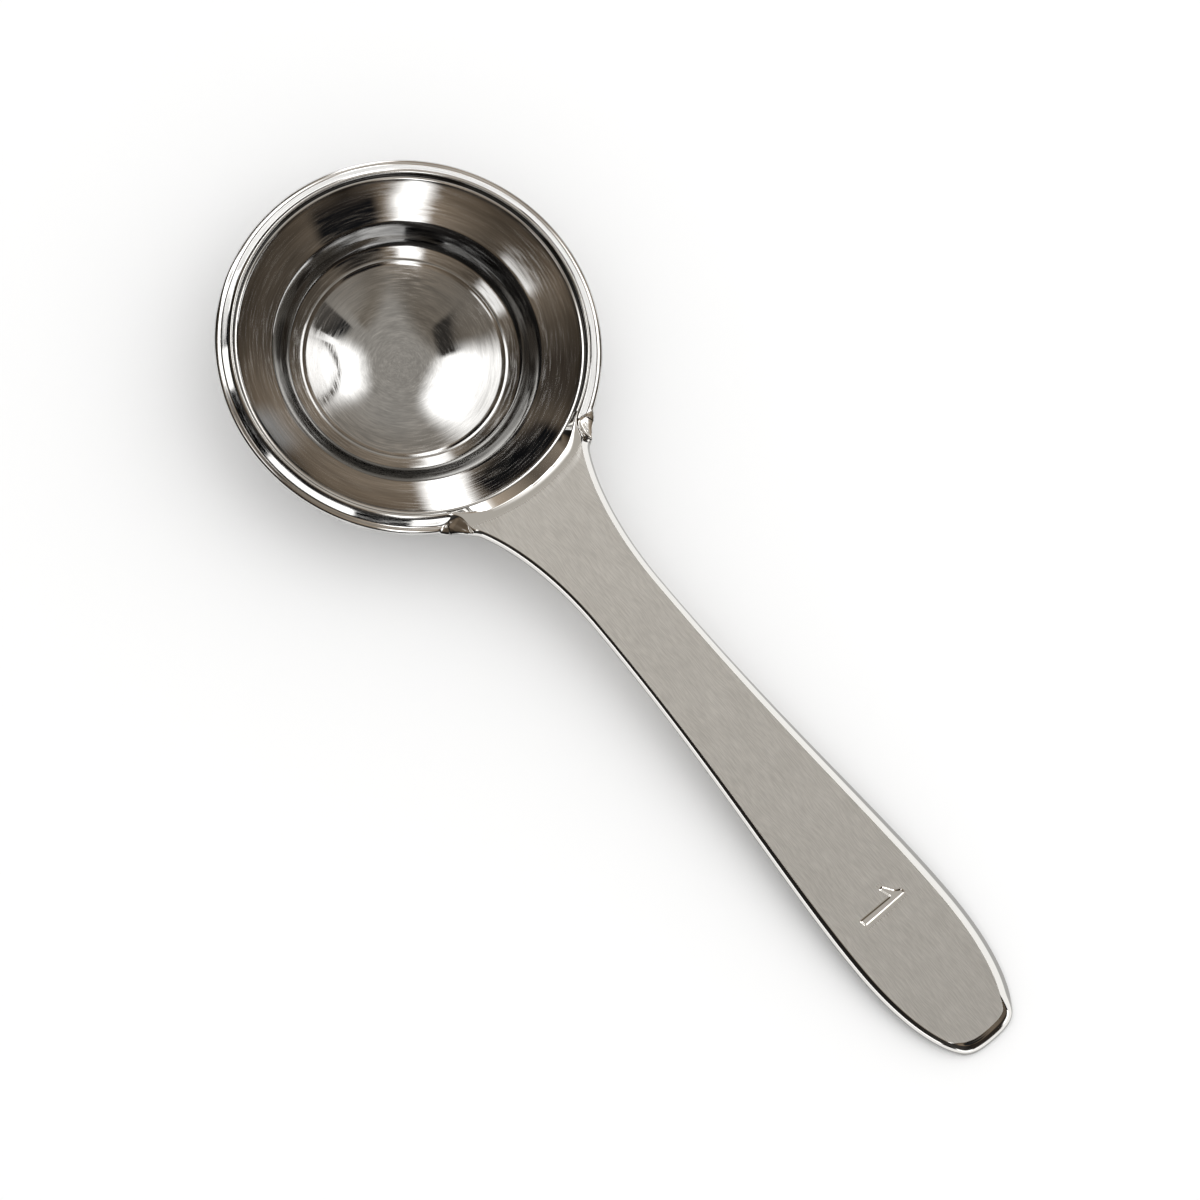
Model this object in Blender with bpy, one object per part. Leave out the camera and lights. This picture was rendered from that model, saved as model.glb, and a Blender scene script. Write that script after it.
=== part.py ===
"""Oil spoon in stainless steel: a drawn bowl with a rolled rim, welded to a hollow handle.

The design frame has its origin at the centre of the bowl's lip, +X toward the handle's tip and
+Z out of the bowl. Every part hangs from one empty, which tips that frame so that the spoon
stands on the flat of the bowl's base and on the lip of the handle's tip, with the floor at z = 0.
"""
from math import asin, atan2, cos, hypot, pi, radians, sin, sqrt, tan

import bmesh
import bpy
from mathutils import Matrix, Vector

MM = 0.001

# Sheet and fits
BOWL_SHEET = 0.8 * MM
HANDLE_SHEET = 0.6 * MM
CLEARANCE = 0.3 * MM

# Bowl, from its lip down to the middle of its floor
LIP_RADIUS = 26.9 * MM
BOWL_DEPTH = 12.6 * MM
STEP_RADIUS = 19.7 * MM
STEP_HEIGHT = 3.6 * MM
FLOOR_RADIUS = 15.75 * MM
FLOOR_DISH = 4.7 * MM
BASE_GRIND = 0.1 * MM

# Rolled rim: an inner flank up to the crest, and a wider outer one down to the edge
RIM_RISE = 1.1 * MM
FLANK_WIDTH = 1.0 * MM
RIM_OUTER_WIDTH = 2.1 * MM
RIM_OUTER_DROP = 1.95 * MM

# Handle in plan, measured along X from the rim and across from the middle line
NOTCH_ANGLE = radians(28.6)
NECK_LENGTH = 22.0 * MM
NECK_BLEND_LENGTH = 11.0 * MM
WAIST_HALF_WIDTH = 6.6 * MM
TAPER_LENGTH = 65.5 * MM
SHOULDER_HALF_WIDTH = 9.85 * MM
TIP_LENGTH = 20.7 * MM
CORNER_SETBACK = 1.6 * MM
CORNER_HALF_WIDTH = 5.4 * MM
CORNER_SLOPE = radians(38.0)

# How far each end of the outline's curves holds its direction
NOTCH_PULL = 4.0 * MM
WAIST_FRONT_PULL = 14.0 * MM
WAIST_BACK_PULL = 28.0 * MM
SHOULDER_FRONT_PULL = 17.0 * MM
SHOULDER_BACK_PULL = 8.0 * MM
CORNER_PULL = 5.0 * MM
TIP_PULL = 2.7 * MM

# Handle in section
HANDLE_THICKNESS = 2.0 * MM
EDGE_WIDTH = 1.25 * MM
EDGE_DROP = 0.9 * MM
EDGE_TUCK = 0.2 * MM
FACE_SINK = 0.1 * MM
NECK_FLANK_WIDTH = 1.7 * MM
NECK_BEAD_WIDTH = 2.2 * MM

# Back plate and its tongue under the bowl
PLATE_RECESS = 0.15 * MM
TONGUE_LENGTH = 5.4 * MM
TONGUE_HALF_WIDTH = 6.5 * MM

# Welds
SEAM_WELD_SIZE = 0.4 * MM
NECK_WELD_SIZE = 0.7 * MM
PLUG_HOLE_RADIUS = 1.6 * MM
PLUG_FROM_LIP = 2.9 * MM
PLUG_SPREAD = 3.4 * MM

# Fineness of the meshes
TURN_STEPS = 60
NECK_STEPS = 12
ARC_STEPS = 5
NECK_ROWS = 8
TAPER_STEPS = 12
SHOULDER_STEPS = 6
CORNER_STEPS = 5
FLOOR_STEPS = 8
PLATE_COLUMNS = 8
WELD_STEPS = 10
PLUG_SIDES = 20
SHARP_ANGLE = radians(35)

# Values that follow from the sizes above
RIM_RADIUS = LIP_RADIUS + FLANK_WIDTH + RIM_OUTER_WIDTH
WALL_SLOPE = atan2(BOWL_DEPTH - FLOOR_DISH - STEP_HEIGHT, LIP_RADIUS - STEP_RADIUS)
FLOOR_SPHERE = (FLOOR_RADIUS ** 2 + FLOOR_DISH ** 2) / (2 * FLOOR_DISH)
FRONT_RADIUS = LIP_RADIUS + CLEARANCE / cos(WALL_SLOPE)
WAIST_X = RIM_RADIUS + NECK_LENGTH
SHOULDER_X = WAIST_X + TAPER_LENGTH
TIP_X = SHOULDER_X + TIP_LENGTH
LIP_Z = RIM_RISE - FACE_SINK - HANDLE_THICKNESS
PLATE_Z = LIP_Z + PLATE_RECESS + HANDLE_SHEET
SEAM_INSET = EDGE_TUCK + HANDLE_SHEET + CLEARANCE
PLATE_INSET = SEAM_INSET + SEAM_WELD_SIZE + CLEARANCE


def clear_scene():
    for item in list(bpy.data.objects):
        bpy.data.objects.remove(item, do_unlink=True)


def steel(name, colour, roughness):
    material = bpy.data.materials.new(name)
    material.use_nodes = True
    shader = material.node_tree.nodes["Principled BSDF"]
    shader.inputs["Base Color"].default_value = (*colour, 1.0)
    shader.inputs["Roughness"].default_value = roughness
    shader.inputs["Metallic"].default_value = 1.0
    return material


def place(name, mesh, material, parent):
    part = bpy.data.objects.new(name, mesh)
    bpy.context.collection.objects.link(part)
    part.parent = parent
    mesh.materials.append(material)
    return part


def thicken(part, sheet):
    """Give a pressed surface its sheet thickness, behind the side that shows."""
    solid = part.modifiers.new("sheet", "SOLIDIFY")
    solid.thickness = sheet
    solid.offset = -1.0
    solid.use_even_offset = True


def cut(part, cutter):
    boolean = part.modifiers.new("cut", "BOOLEAN")
    boolean.operation = "DIFFERENCE"
    boolean.object = cutter
    cutter.hide_render = True
    cutter.display_type = "WIRE"


def skin(mesh, rows, closed=False):
    """Lay faces over a grid of points, where None leaves a hole."""
    grid = [[point and mesh.verts.new(point) for point in row] for row in rows]
    last = len(rows) if closed else len(rows) - 1
    for i in range(last):
        near, far = grid[i], grid[(i + 1) % len(grid)]
        for j in range(len(near) - 1):
            corners = (near[j], near[j + 1], far[j + 1], far[j])
            if all(corners):
                mesh.faces.new(corners)


def mesh_from_grid(name, rows, closed=False):
    mesh = bmesh.new()
    skin(mesh, rows, closed)
    return welded_mesh(name, mesh)


def welded_mesh(name, mesh):
    """Join the points that coincide, which drops the faces that have no area."""
    bmesh.ops.remove_doubles(mesh, verts=mesh.verts, dist=0.002 * MM)
    return finish_mesh(name, mesh)


def finish_mesh(name, mesh):
    data = bpy.data.meshes.new(name)
    mesh.to_mesh(data)
    mesh.free()
    data.shade_smooth()
    data.set_sharp_from_angle(angle=SHARP_ANGLE)
    return data


def bezier(start, start_way, end, end_way, steps):
    """Points of a cubic curve that leaves along start_way and arrives along end_way."""
    control = (start, start + start_way, end - end_way, end)
    points = []
    for i in range(steps + 1):
        t = i / steps
        weights = ((1 - t) ** 3, 3 * t * (1 - t) ** 2, 3 * t * t * (1 - t), t ** 3)
        points.append(sum((p * w for p, w in zip(control, weights)), Vector((0, 0))))
    return points


def quarter_round(t):
    """Fall of a rounded edge, 0 at its crest where t = 1 and 1 at its foot where t = 0."""
    t = min(max(t, 0.0), 1.0)
    return 1 - sqrt(1 - (1 - t) ** 2)


def smooth(t):
    t = min(max(t, 0.0), 1.0)
    return t * t * (3 - 2 * t)


def bowl_profile():
    """Inner side of the bowl as (radius, height), from the middle of the floor to the lip."""
    floor_angle = asin(FLOOR_RADIUS / FLOOR_SPHERE)
    points = []
    for i in range(1, FLOOR_STEPS + 1):
        angle = floor_angle * i / FLOOR_STEPS
        points.append((FLOOR_SPHERE * sin(angle), FLOOR_SPHERE * (1 - cos(angle)) - BOWL_DEPTH))
    step_depth = BOWL_DEPTH - FLOOR_DISH - STEP_HEIGHT
    points.append((STEP_RADIUS, -step_depth))
    points.append(((STEP_RADIUS + LIP_RADIUS) / 2, -step_depth / 2))
    points.append((LIP_RADIUS, 0.0))
    return points


def rim_profile():
    """Rolled rim as (radius, height), from just past the lip over the crest to the edge."""
    points = []
    for i in range(1, ARC_STEPS + 1):
        angle = pi / 2 * i / ARC_STEPS
        points.append((LIP_RADIUS + FLANK_WIDTH * (1 - cos(angle)), RIM_RISE * sin(angle)))
    for i in range(1, ARC_STEPS + 1):
        angle = pi / 2 * i / ARC_STEPS
        radius = LIP_RADIUS + FLANK_WIDTH + RIM_OUTER_WIDTH * sin(angle)
        points.append((radius, RIM_RISE - RIM_OUTER_DROP * (1 - cos(angle))))
    return points


def turn_angles():
    """Angles round the bowl: the neck's lip, then the rim from notch to notch."""
    rim_start = NOTCH_ANGLE + CLEARANCE / LIP_RADIUS
    neck = [rim_start * (2 * i / NECK_STEPS - 1) for i in range(NECK_STEPS)]
    rim = [rim_start + (2 * pi - 2 * rim_start) * i / TURN_STEPS for i in range(TURN_STEPS)]
    return neck, rim


def make_bowl(parent, material):
    neck, rim = turn_angles()
    wall = [(0.0, -BOWL_DEPTH)] + bowl_profile()
    roll = rim_profile()
    rows = []
    for i, angle in enumerate(neck + rim):
        turned = [Vector((r * cos(angle), r * sin(angle), z)) for r, z in wall + roll]
        in_neck = 0 < i < len(neck)
        rows.append(turned[:len(wall)] + [None] * len(roll) if in_neck else turned)
    bowl = place("bowl", mesh_from_grid("bowl", rows, closed=True), material, parent)
    thicken(bowl, BOWL_SHEET)
    return bowl


def side_outline():
    """Plan of the handle's +Y side from the notch to the tip, as (point, inward normal)."""
    notch = Vector((cos(NOTCH_ANGLE), sin(NOTCH_ANGLE))) * RIM_RADIUS
    along_rim = Vector((sin(NOTCH_ANGLE), -cos(NOTCH_ANGLE)))
    waist = Vector((WAIST_X, WAIST_HALF_WIDTH))
    shoulder = Vector((SHOULDER_X, SHOULDER_HALF_WIDTH))
    corner = Vector((TIP_X - CORNER_SETBACK, CORNER_HALF_WIDTH))
    corner_way = Vector((cos(CORNER_SLOPE), -sin(CORNER_SLOPE)))
    tip = Vector((TIP_X, 0.0))
    forward = Vector((1.0, 0.0))
    inward = Vector((0.0, -1.0))
    points = bezier(notch, along_rim * NOTCH_PULL, waist, forward * WAIST_FRONT_PULL, TAPER_STEPS)
    points += bezier(waist, forward * WAIST_BACK_PULL, shoulder, forward * SHOULDER_FRONT_PULL,
                     TAPER_STEPS)[1:]
    points += bezier(shoulder, forward * SHOULDER_BACK_PULL, corner, corner_way * CORNER_PULL,
                     SHOULDER_STEPS)[1:]
    points += bezier(corner, corner_way * CORNER_SETBACK, tip, inward * TIP_PULL,
                     CORNER_STEPS)[1:]
    outline = []
    for i, point in enumerate(points):
        way = points[min(i + 1, len(points) - 1)] - points[max(i - 1, 0)]
        if i == 0:
            way = along_rim
        if i == len(points) - 1:
            way = inward.copy()
        way.normalize()
        outline.append((point, Vector((way.y, -way.x))))
    return outline


def neck_blend(x):
    """0 where the handle still has the rim's section, 1 from the neck on."""
    return smooth((x - RIM_RADIUS * cos(NOTCH_ANGLE)) / NECK_BLEND_LENGTH)


def face_height(point):
    """Height of the handle's upper face, with the flank and the bead in front of it."""
    radius = hypot(point.x, point.y)
    share = smooth(abs(atan2(point.y, point.x)) / NOTCH_ANGLE)
    flank = NECK_FLANK_WIDTH + (FLANK_WIDTH - NECK_FLANK_WIDTH) * share
    behind = radius - FRONT_RADIUS
    sink = FACE_SINK * smooth((behind - flank) / NECK_BEAD_WIDTH)
    return RIM_RISE - RIM_RISE * quarter_round(behind / flank) - sink


def edge_column(point, inward):
    """Edge of the handle at one place, from its lip up and over to the crest."""
    blend = neck_blend(point.x)
    width = RIM_OUTER_WIDTH + (EDGE_WIDTH - RIM_OUTER_WIDTH) * blend
    drop = RIM_OUTER_DROP + (EDGE_DROP - RIM_OUTER_DROP) * blend
    skirt = (HANDLE_THICKNESS - EDGE_DROP) * blend
    lip = point + inward * EDGE_TUCK * blend
    column = [Vector((*lip, face_height(point) - drop - skirt))]
    for i in range(ARC_STEPS + 1):
        angle = pi / 2 * i / ARC_STEPS
        spot = point + inward * width * (1 - cos(angle))
        column.append(Vector((*spot, face_height(spot) - drop * (1 - sin(angle)))))
    return column


def mirrored(point):
    return Vector((point.x, -point.y, *point[2:]))


def front_line(crest):
    """From one side's crest in along the notch to the lip, round the lip and out again."""
    line = [crest.xy]
    for i in range(NECK_STEPS + 1):
        angle = NOTCH_ANGLE * (1 - 2 * i / NECK_STEPS)
        line.append(Vector((cos(angle), sin(angle))) * FRONT_RADIUS)
    return line + [mirrored(crest.xy)]


def face_rows(crests):
    """Rows of points across the handle's face, which straighten out from the lip backward."""
    front = front_line(crests[0])
    start = crests[0].xy
    rows = []
    for i, crest in enumerate(crests):
        side = crest.xy
        along = min(i / NECK_ROWS, 1.0)
        row = []
        for j, ahead in enumerate(front):
            across = j / (len(front) - 1)
            straight = side.lerp(mirrored(side), across)
            level = start.lerp(mirrored(start), across)
            spot = straight + (ahead - level) * (1 - along)
            row.append(Vector((*spot, face_height(spot))))
        rows.append(row)
    return rows


def make_handle_shell(parent, material):
    outline = side_outline()
    border = [edge_column(point, inward) for point, inward in outline]
    crests = [column[-1] for column in border]
    other_side = [[mirrored(point) for point in column] for column in reversed(border[:-1])]
    rows = face_rows(crests[:-CORNER_STEPS])
    tip = crests[-CORNER_STEPS:]
    mesh = bmesh.new()
    skin(mesh, border + other_side)
    skin(mesh, rows)
    cap = rows[-1] + [mirrored(point) for point in tip[:-1]] + list(reversed(tip))
    mesh.faces.new([mesh.verts.new(point) for point in cap])
    shell = place("handle_shell", welded_mesh("handle_shell", mesh), material, parent)
    thicken(shell, HANDLE_SHEET)
    return shell


def plate_height(point):
    """Top of the back plate: level in the handle, and sloped with the wall under the bowl."""
    radius = hypot(point.x, point.y)
    under_wall = (radius - LIP_RADIUS) * tan(WALL_SLOPE) - (BOWL_SHEET + CLEARANCE) / cos(WALL_SLOPE)
    return min(PLATE_Z, under_wall)


def plate_side():
    """Plan of the plate's +Y side: the tongue first, then inside the handle's edge."""
    front = LIP_RADIUS - TONGUE_LENGTH
    inside = [point + inward * PLATE_INSET for point, inward in side_outline()]
    joined = [p for p in inside if p.x > RIM_RADIUS and (p.y < TONGUE_HALF_WIDTH or p.x > WAIST_X)]
    reach = joined[0].x
    tongue = []
    for i in range(PLATE_COLUMNS):
        tongue.append(Vector((front + (reach - front) * i / PLATE_COLUMNS, TONGUE_HALF_WIDTH)))
    return tongue, joined


def make_back_plate(parent, material):
    tongue, joined = plate_side()
    rows = []
    for i, side in enumerate(tongue + joined):
        roundness = max(0.0, 1 - i / len(tongue))
        row = []
        for j in range(PLATE_COLUMNS + 1):
            y = side.y * (1 - 2 * j / PLATE_COLUMNS)
            arc_back = side.x - sqrt(side.x ** 2 - y ** 2)
            spot = Vector((side.x - arc_back * roundness, y))
            row.append(Vector((*spot, plate_height(spot))))
        rows.append(row)
    plate = place("handle_back_plate", mesh_from_grid("handle_back_plate", rows), material, parent)
    thicken(plate, HANDLE_SHEET)
    return plate


def sweep(name, path, section, parent, material):
    """A closed bar with the given section, a list of (outward, up), along a list of frames."""
    mesh = bmesh.new()
    rings = []
    for spot, outward, up in path:
        rings.append([mesh.verts.new(spot + outward * a + up * b) for a, b in section])
    count = len(section)
    for near, far in zip(rings, rings[1:]):
        for j in range(count):
            mesh.faces.new((near[j], near[(j + 1) % count], far[(j + 1) % count], far[j]))
    mesh.faces.new(reversed(rings[0]))
    mesh.faces.new(rings[-1])
    bmesh.ops.recalc_face_normals(mesh, faces=mesh.faces)
    return place(name, finish_mesh(name, mesh), material, parent)


def make_seam_weld(parent, material):
    """Weld that closes the plate into the handle, round the inside of the handle's edge."""
    middle = SEAM_INSET + SEAM_WELD_SIZE / 2
    height = LIP_Z + PLATE_RECESS + SEAM_WELD_SIZE / 2
    _, joined = plate_side()
    side = [(point, inward) for point, inward in side_outline() if point.x > joined[0].x]
    up = Vector((0, 0, 1))
    path = []
    for point, inward in side:
        path.append((Vector((*(point + inward * middle), height)), Vector((*-inward, 0)), up))
    for spot, outward, _ in reversed(path[:-1]):
        path.append((mirrored(spot), mirrored(outward), up))
    half = SEAM_WELD_SIZE / 2
    section = [(half, -half), (half, half), (-half, half), (-half, -half)]
    return sweep("handle_seam_weld", path, section, parent, material)


def make_neck_weld(parent, material):
    """Fillet weld in front of the tongue, under the bowl's wall."""
    ahead = LIP_RADIUS - TONGUE_LENGTH - CLEARANCE - NECK_WELD_SIZE / 2
    half_angle = TONGUE_HALF_WIDTH / ahead
    along = Vector((cos(WALL_SLOPE), 0, sin(WALL_SLOPE)))
    normal = Vector((-sin(WALL_SLOPE), 0, cos(WALL_SLOPE)))
    base = (ahead - LIP_RADIUS) * tan(WALL_SLOPE)
    base -= (BOWL_SHEET + CLEARANCE) / cos(WALL_SLOPE)
    path = []
    for i in range(WELD_STEPS + 1):
        spin = Matrix.Rotation(half_angle * (1 - 2 * i / WELD_STEPS), 3, "Z")
        path.append((spin @ Vector((ahead, 0, base)), spin @ along, spin @ normal))
    half = NECK_WELD_SIZE / 2
    section = [(half, 0), (-half, 0), (-half, -half / 2), (0, -half), (half, -half)]
    return sweep("neck_weld", path, section, parent, material)


def plug_frame(side):
    """Place and tilt of a plug weld: on the plate's top face, square to the bowl's wall."""
    ahead = LIP_RADIUS - PLUG_FROM_LIP
    angle = side * asin(PLUG_SPREAD / ahead)
    base = -PLUG_FROM_LIP * tan(WALL_SLOPE) - (BOWL_SHEET + CLEARANCE) / cos(WALL_SLOPE)
    spin = Matrix.Rotation(angle, 4, "Z")
    tilt = Matrix.Rotation(-WALL_SLOPE, 4, "Y")
    return spin @ Matrix.Translation((ahead, 0, base)) @ tilt


def cylinder(name, radius, bottom, top, frame):
    mesh = bmesh.new()
    bmesh.ops.create_cone(mesh, cap_ends=True, segments=PLUG_SIDES, radius1=radius,
                          radius2=radius, depth=top - bottom)
    bmesh.ops.translate(mesh, verts=mesh.verts, vec=(0, 0, (top + bottom) / 2))
    bmesh.ops.transform(mesh, matrix=frame, verts=mesh.verts)
    return finish_mesh(name, mesh)


def make_plug_welds(plate, parent, material):
    for side, name in ((1, "plug_weld_left"), (-1, "plug_weld_right")):
        frame = plug_frame(side)
        reach = 2 * HANDLE_SHEET
        drill = cylinder(name + "_drill", PLUG_HOLE_RADIUS, -reach, HANDLE_SHEET / 2, frame)
        cut(plate, place(name + "_drill", drill, material, parent))
        plug = cylinder(name, PLUG_HOLE_RADIUS - CLEARANCE, -HANDLE_SHEET, 0.0, frame)
        place(name, plug, material, parent)


def rest_pose():
    """Empty that stands the spoon on the ground base of its bowl and on its handle's lip."""
    centre = FLOOR_SPHERE - BOWL_DEPTH
    reach = FLOOR_SPHERE + BOWL_SHEET - BASE_GRIND
    tip_x = TIP_X - EDGE_TUCK
    rise = centre - LIP_Z
    tilt = asin(reach / hypot(tip_x, rise)) - atan2(rise, tip_x)
    rest = bpy.data.objects.new("rest_pose", None)
    bpy.context.collection.objects.link(rest)
    rest.rotation_euler = (0, tilt, 0)
    rest.location = (-centre * sin(tilt), 0, reach - centre * cos(tilt))
    return rest


def grind_base(bowl, material):
    """Take the lowest of the base off level with the floor, so that the bowl stands flat."""
    size = FLOOR_RADIUS
    mesh = bmesh.new()
    bmesh.ops.create_cube(mesh, size=size)
    bmesh.ops.translate(mesh, verts=mesh.verts, vec=(0, 0, -size / 2))
    block = place("base_grinder", finish_mesh("base_grinder", mesh), material, None)
    cut(bowl, block)


def main():
    clear_scene()
    rest = rest_pose()
    polished = steel("polished_stainless", (0.62, 0.60, 0.57), 0.08)
    brushed = steel("brushed_stainless", (0.56, 0.54, 0.51), 0.32)
    plain = steel("plain_stainless", (0.50, 0.48, 0.45), 0.40)
    weld = steel("dressed_weld", (0.45, 0.43, 0.40), 0.45)
    bowl = make_bowl(rest, polished)
    grind_base(bowl, plain)
    make_handle_shell(rest, brushed)
    plate = make_back_plate(rest, plain)
    make_seam_weld(rest, weld)
    make_neck_weld(rest, weld)
    make_plug_welds(plate, rest, weld)


main()
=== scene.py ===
# %% [markdown]
# # An oil spoon in stainless steel
# This lesson dresses a measuring spoon: a round polished bowl with a stepped wall and a rolled
# rim, and a flat satin handle with bright edges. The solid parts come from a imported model, which
# is loaded first and never changed. Everything after that is the visible surface, fitted to it.

from math import asin, atan2, cos, exp, hypot, pi, radians, sin, tan

import bmesh
import bpy
from mathutils import Matrix, Vector
from mathutils.bvhtree import BVHTree


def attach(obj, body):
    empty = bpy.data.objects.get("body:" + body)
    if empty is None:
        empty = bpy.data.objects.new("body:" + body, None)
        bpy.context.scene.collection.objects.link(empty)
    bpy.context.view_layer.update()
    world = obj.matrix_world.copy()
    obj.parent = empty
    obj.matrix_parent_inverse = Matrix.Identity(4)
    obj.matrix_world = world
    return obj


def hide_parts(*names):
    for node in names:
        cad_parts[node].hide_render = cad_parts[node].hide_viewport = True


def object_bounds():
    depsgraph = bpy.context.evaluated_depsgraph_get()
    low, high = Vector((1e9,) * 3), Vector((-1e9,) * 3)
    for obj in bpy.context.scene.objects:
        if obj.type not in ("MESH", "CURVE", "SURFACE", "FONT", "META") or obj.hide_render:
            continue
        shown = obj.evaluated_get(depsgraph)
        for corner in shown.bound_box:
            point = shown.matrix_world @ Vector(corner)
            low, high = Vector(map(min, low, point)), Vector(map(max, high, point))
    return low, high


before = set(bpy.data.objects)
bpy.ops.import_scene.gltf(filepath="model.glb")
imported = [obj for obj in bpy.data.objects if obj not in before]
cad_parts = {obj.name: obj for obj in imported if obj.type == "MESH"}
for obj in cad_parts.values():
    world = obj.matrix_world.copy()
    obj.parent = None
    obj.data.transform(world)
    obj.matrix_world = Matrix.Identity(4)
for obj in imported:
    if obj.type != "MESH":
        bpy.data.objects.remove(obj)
cad_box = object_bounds()
print("nodes:", sorted(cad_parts))

# %% [markdown]
# ## Sizes
# A spoon like this is easiest to think of in its own frame: the origin at the middle of the
# bowl's lip, X along the handle and Z out of the bowl, all in millimetres. The same sizes made
# the solid model, so the visible surface lands on it without any fitting.

# %% Sizes in millimetres
MM = 0.001
BOWL_SHEET = 0.8
HANDLE_SHEET = 0.6

LIP_RADIUS = 26.9
BOWL_DEPTH = 12.6
STEP_RADIUS = 19.7
STEP_HEIGHT = 3.6
FLOOR_RADIUS = 15.75
FLOOR_DISH = 4.7
BASE_GRIND = 0.1

RIM_RISE = 1.1
FLANK_WIDTH = 1.0
RIM_OUTER_WIDTH = 2.1

NOTCH_ANGLE = radians(28.6)
NECK_LENGTH = 22.0
WAIST_HALF_WIDTH = 6.6
TAPER_LENGTH = 65.5
SHOULDER_HALF_WIDTH = 9.85
TIP_LENGTH = 20.7
CORNER_SETBACK = 1.6
CORNER_HALF_WIDTH = 5.4
CORNER_SLOPE = radians(38.0)
# How far each curve of the outline is pulled along the way that it leaves or arrives.
NOTCH_PULL, WAIST_FRONT_PULL, WAIST_BACK_PULL = 4.0, 14.0, 28.0
SHOULDER_FRONT_PULL, SHOULDER_BACK_PULL, CORNER_PULL, TIP_PULL = 17.0, 8.0, 5.0, 2.7

HANDLE_THICKNESS = 2.0
EDGE_TUCK = 0.2
FACE_SINK = 0.1

RIM_RADIUS = LIP_RADIUS + FLANK_WIDTH + RIM_OUTER_WIDTH
WAIST_X = RIM_RADIUS + NECK_LENGTH
SHOULDER_X = WAIST_X + TAPER_LENGTH
TIP_X = SHOULDER_X + TIP_LENGTH
FLOOR_SPHERE = (FLOOR_RADIUS ** 2 + FLOOR_DISH ** 2) / (2 * FLOOR_DISH)
UNDERSIDE_Z = RIM_RISE - FACE_SINK - HANDLE_THICKNESS
print("spoon length", round(TIP_X + RIM_RADIUS, 1), "mm, bowl", 2 * RIM_RADIUS, "mm across")


# %% [markdown]
# ## How the spoon lies
# The bowl stands on a small flat under its floor and the handle tips down until its end touches
# the table. One matrix carries the spoon's own frame to that pose and from millimetres to metres.

# %% The resting pose
def rest_matrix():
    centre = FLOOR_SPHERE - BOWL_DEPTH
    reach = FLOOR_SPHERE + BOWL_SHEET - BASE_GRIND
    tip_x = TIP_X - EDGE_TUCK
    rise = centre - UNDERSIDE_Z
    tilt = asin(reach / hypot(tip_x, rise)) - atan2(rise, tip_x)
    spot = Vector((-centre * sin(tilt), 0, reach - centre * cos(tilt)))
    return tilt, spot


TILT, SPOT = rest_matrix()
TO_WORLD = Matrix.Scale(MM, 4) @ Matrix.Translation(SPOT) @ Matrix.Rotation(TILT, 4, "Y")
print("handle dips", round(TILT * 180 / pi, 2), "degrees")


# %% [markdown]
# ## Small helpers for shapes
# Two blends and two short cuts are needed again and again: one puts a mesh in the scene with its
# material, the other works out a piece's modifiers and keeps the plain mesh that comes of them.

# %% Small helpers for shapes
def smooth(t):
    t = min(max(t, 0.0), 1.0)
    return t * t * (3 - 2 * t)


def mix(a, b, t):
    return a + (b - a) * t


def new_piece(name, data, material):
    piece = bpy.data.objects.new(name, data)
    bpy.context.scene.collection.objects.link(piece)
    data.materials.clear()
    data.materials.append(material)
    return piece


def plain_mesh(piece, name):
    """The piece with its modifiers worked out, as a mesh with no modifiers left."""
    graph = bpy.context.evaluated_depsgraph_get()
    ready = piece.evaluated_get(graph)
    data = bpy.data.meshes.new_from_object(ready, preserve_all_data_layers=True, depsgraph=graph)
    data.name = name
    piece.modifiers.clear()
    piece.data = data
    return data


# %% [markdown]
# ## Small helpers for nodes
# Materials, the room and the turned bowl are all node trees. One function adds any node with its
# settings and links, and the rest are short names for the few kinds that come up most.

# %% Node helpers and colours
def linear(code):
    """An sRGB hex colour as the linear numbers that Blender's nodes take."""
    values = [int(code[i:i + 2], 16) / 255 for i in (1, 3, 5)]
    return tuple(v / 12.92 if v <= 0.04045 else ((v + 0.055) / 1.055) ** 2.4 for v in values)


def add(tree, kind, links=None, **settings):
    """Add a node; settings name its properties, links its inputs by name or number."""
    node = tree.nodes.new(kind)
    for key, value in settings.items():
        setattr(node, key, value)
    for key, value in (links or {}).items():
        if isinstance(value, bpy.types.NodeSocket):
            tree.links.new(value, node.inputs[key])
        else:
            node.inputs[key].default_value = value
    return node


def maths(tree, kind, a, b=0.0):
    return add(tree, "ShaderNodeMath", {0: a, 1: b}, operation=kind).outputs[0]


def spread(tree, value, low, high, to_low=0.0, to_high=1.0):
    """Carry a value from one range to another, held at both ends."""
    links = {"Value": value, "From Min": low, "From Max": high, "To Min": to_low, "To Max": to_high}
    return add(tree, "ShaderNodeMapRange", links).outputs[0]


def between(tree, value, start, full, fading, end):
    """1 on a stretch of the value and 0 off it, with soft ends."""
    return maths(tree, "MULTIPLY", spread(tree, value, start, full), spread(tree, value, end, fading))


def vector(tree, kind, a, b=(0, 0, 0)):
    return add(tree, "ShaderNodeVectorMath", {0: a, 1: b}, operation=kind).outputs[0]


def split(tree, value):
    return add(tree, "ShaderNodeSeparateXYZ", {0: value}).outputs


def join(tree, x, y, z):
    return add(tree, "ShaderNodeCombineXYZ", {0: x, 1: y, 2: z}).outputs[0]


def noise(tree, place, detail=2.0, rough=0.5):
    links = {"Vector": place, "Scale": 1.0, "Detail": detail, "Roughness": rough}
    return add(tree, "ShaderNodeTexNoise", links, noise_dimensions="3D").outputs[0]


def bump(tree, height, distance):
    """Relief; the distance is in metres."""
    links = {"Height": height, "Distance": distance, "Strength": 1.0}
    return add(tree, "ShaderNodeBump", links).outputs[0]


def distance_from_axis(tree, x, y):
    squares = maths(tree, "ADD", maths(tree, "MULTIPLY", x, x), maths(tree, "MULTIPLY", y, y))
    return maths(tree, "SQRT", squares)


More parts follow.
